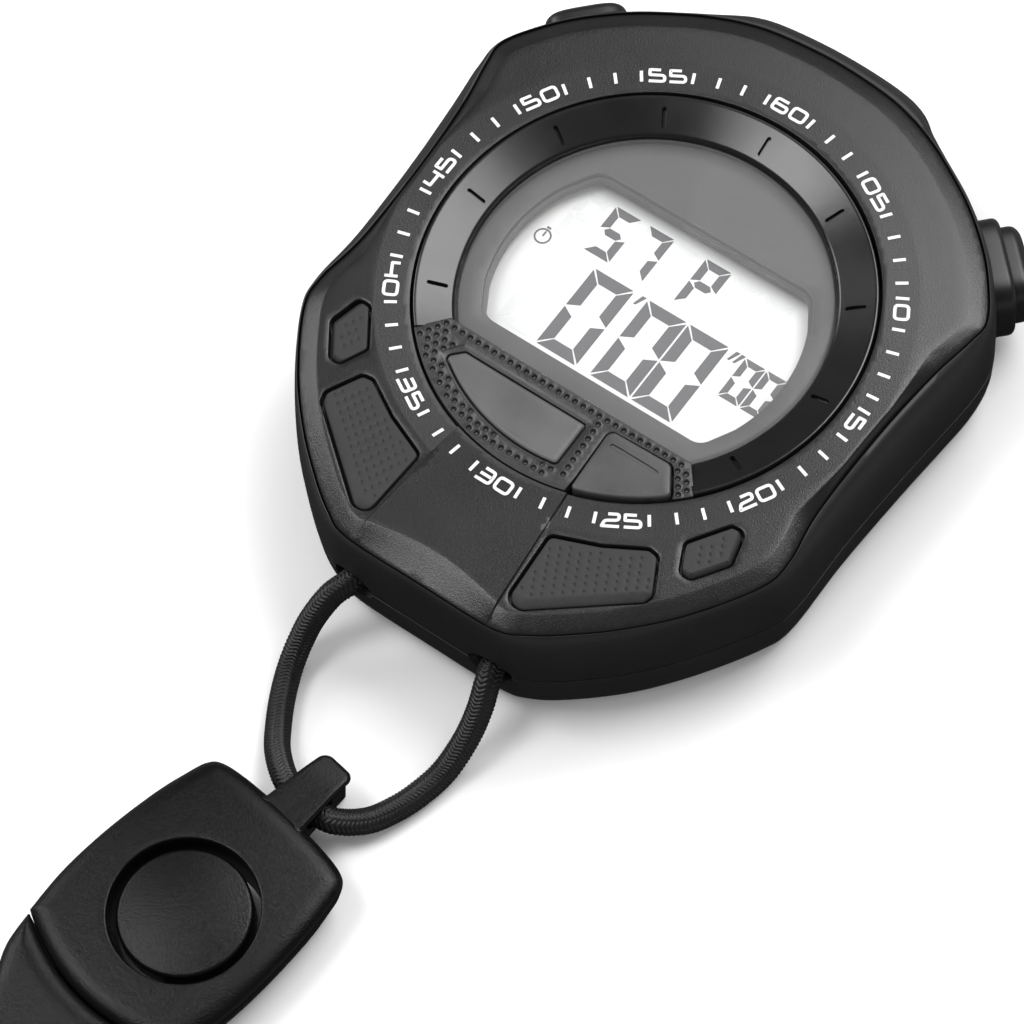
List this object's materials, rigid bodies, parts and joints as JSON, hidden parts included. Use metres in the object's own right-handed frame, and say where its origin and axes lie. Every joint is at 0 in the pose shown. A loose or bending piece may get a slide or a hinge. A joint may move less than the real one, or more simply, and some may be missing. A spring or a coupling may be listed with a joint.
{
  "type": "digital stopwatch",
  "caption": "Hand-held digital stopwatch with two push buttons, mode key, battery cover and a quick-release coupling on an elastic cord loop.",
  "frame": {"origin": "middle of the watch's footprint on the surface it lies on, cord loop and coupling left out", "axes": "+Z out of the display, +Y towards the 60 mark at the top of the dial, +X towards the 15 mark"},
  "size_m": [0.0672, 0.1479, 0.0181],
  "materials": {
    "case_shell": "soft-touch black ABS, smooth and low sheen",
    "face": "fine spark-eroded grain, charcoal",
    "dial_ring": "satin black",
    "rubber": "matt moulded rubber with dimples",
    "mask": "printed mid grey",
    "lens": "clear moulded acrylic",
    "lcd": "pale reflective liquid crystal glass with grey segments",
    "white_frame": "white moulded plastic",
    "board": "green solder resist",
    "chip": "black epoxy blob",
    "steel": "plated steel",
    "contact_metal": "spring brass",
    "cord": "black braided elastic",
    "coupling": "satin black acetal"
  },
  "bodies": {
    "case": {"front_case": "case_shell", "rear_case": "case_shell", "start_stop_collar": "case_shell", "lap_reset_collar": "case_shell", "face_plate": "face", "key_panel": "face", "badge_plate": "face", "bezel_ring": "dial_ring", "grip_pad_upper_left": "rubber", "grip_pad_upper_right": "rubber", "grip_pad_lower_left": "rubber", "grip_pad_lower_right": "rubber", "mode_key_spring": "rubber", "zebra_strip_upper": "rubber", "zebra_strip_lower": "rubber", "display_mask": "mask", "lens": "lens", "lcd_glass": "lcd", "module_frame": "white_frame", "lcd_reflector": "white_frame", "circuit_board": "board", "timing_chip": "chip", "case_screw_1": "steel", "case_screw_2": "steel", "case_screw_3": "steel", "case_screw_4": "steel", "module_screw_1": "steel", "module_screw_2": "steel", "mode_switch": "steel", "quartz_crystal": "steel", "buzzer_spring": "steel", "battery_cell": "steel", "start_stop_spring": "steel", "lap_reset_spring": "steel", "cord_ferrule_left": "steel", "cord_ferrule_right": "steel", "buzzer_disc": "contact_metal", "battery_contact_negative": "contact_metal", "battery_contact_positive": "contact_metal", "start_stop_contact": "contact_metal", "lap_reset_contact": "contact_metal", "cord_loop": "cord"},
    "start_stop_button": {"start_stop_cap": "case_shell", "start_stop_clip": "steel"},
    "lap_reset_button": {"lap_reset_cap": "case_shell", "lap_reset_clip": "steel"},
    "mode_button": {"mode_key": "face"},
    "battery_cover_body": {"battery_cover": "case_shell", "battery_cover_seal": "rubber"},
    "connector": {"connector_socket": "coupling", "connector_plug": "coupling"},
    "release_tongue": {"connector_tongue": "coupling"}
  },
  "joints": [
    {"name": "start_stop_press", "type": "slide", "parent": "case", "child": "start_stop_button", "axis": [-0.7071, -0.7071, 0], "range_m": [0, 0.0012], "stiffness_N_per_m": 1200, "springref_m": -0.001, "deforming": ["start_stop_spring"]},
    {"name": "lap_reset_press", "type": "slide", "parent": "case", "child": "lap_reset_button", "axis": [0.7071, -0.7071, 0], "range_m": [0, 0.0012], "stiffness_N_per_m": 1200, "springref_m": -0.001, "deforming": ["lap_reset_spring"]},
    {"name": "mode_press", "type": "slide", "parent": "case", "child": "mode_button", "axis": [0, 0, -1], "range_m": [0, 0.0008], "stiffness_N_per_m": 800, "springref_m": -0.0005, "deforming": ["mode_key_spring"]},
    {"name": "battery_cover_turn", "type": "hinge", "parent": "case", "child": "battery_cover_body", "pos_m": [0, -0.0106, 0.0015], "axis": [0, 0, -1], "range_deg": [0, 45]},
    {"name": "coupling_swing", "type": "hinge", "parent": "case", "child": "connector", "pos_m": [0.0008, -0.0626, 0.0034], "axis": [-0.9863, 0.165, 0], "range_deg": [-60, 90]},
    {"name": "release_press", "type": "hinge", "parent": "connector", "child": "release_tongue", "pos_m": [-0.00465, -0.09515, 0.0034], "axis": [-0.9863, 0.165, 0], "range_deg": [0, 5], "stiffness_Nm_per_rad": 0.75}
  ]
}
